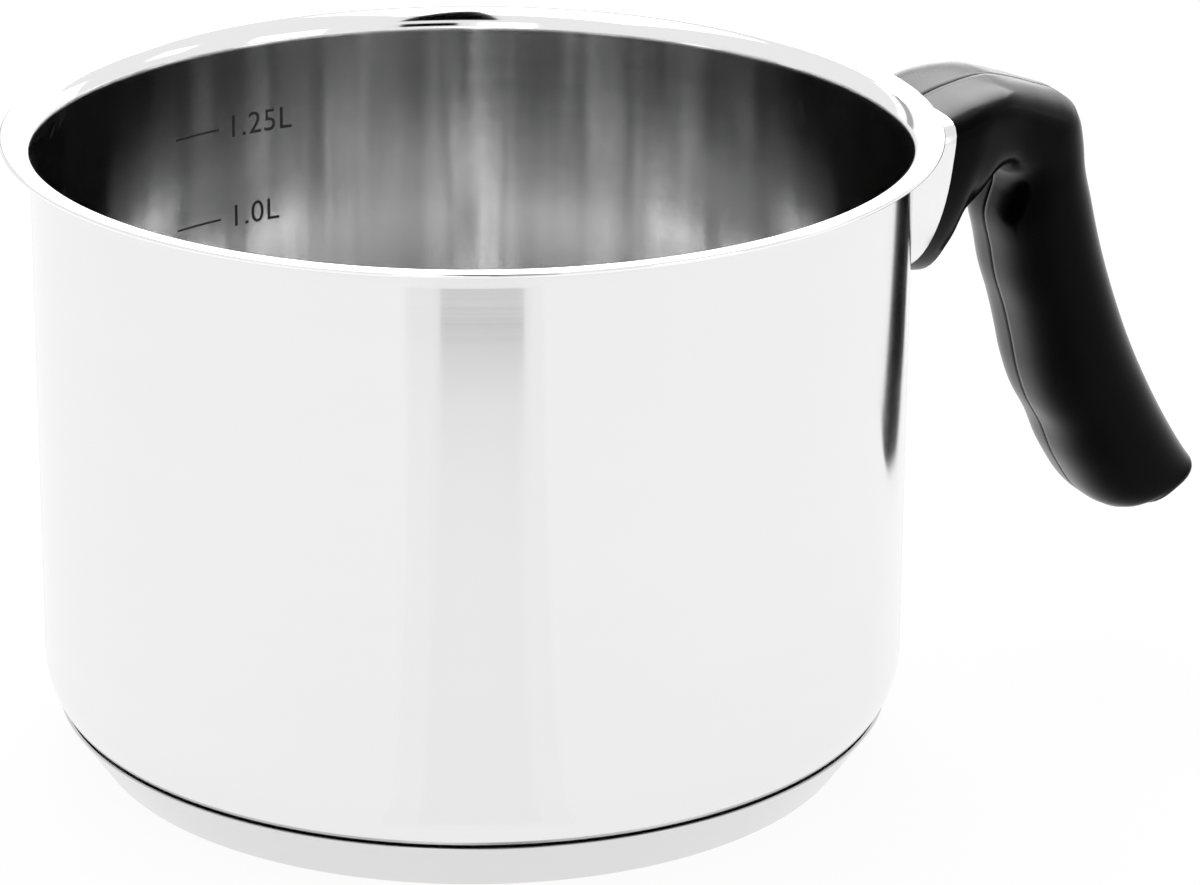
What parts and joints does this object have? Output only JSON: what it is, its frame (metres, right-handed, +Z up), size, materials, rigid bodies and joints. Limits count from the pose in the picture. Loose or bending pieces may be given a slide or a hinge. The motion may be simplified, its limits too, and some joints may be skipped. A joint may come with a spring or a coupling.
{
  "type": "milk pan",
  "caption": "Small steel saucepan with a turned-out pouring rim, a thick layered base and a fixed drop-down side handle, for warming milk or sauce.",
  "frame": {"origin": "centre of the pan's underside, on the plane that it stands on", "axes": "+Z up along the pan's own axis; +X from that axis through the middle of the handle; +Y completes a right-handed frame"},
  "size_m": [0.207, 0.1514, 0.1048],
  "materials": {
    "pot_steel": "satin brushed stainless steel, polished on the rim",
    "core_aluminium": "plain, sealed in",
    "cap_steel": "satin stainless steel",
    "bracket_steel": "plain pressed stainless steel",
    "guard_steel": "bright stainless steel",
    "handle_plastic": "satin-matte black phenolic moulding",
    "fastener_steel": "plain stainless steel"
  },
  "bodies": {
    "root": {"pot_body": "pot_steel", "base_core": "core_aluminium", "base_cap": "cap_steel", "handle_bracket": "bracket_steel", "bracket_nut": "fastener_steel", "flame_guard": "guard_steel", "handle": "handle_plastic", "handle_screw": "fastener_steel", "lock_washer": "fastener_steel"}
  },
  "joints": []
}
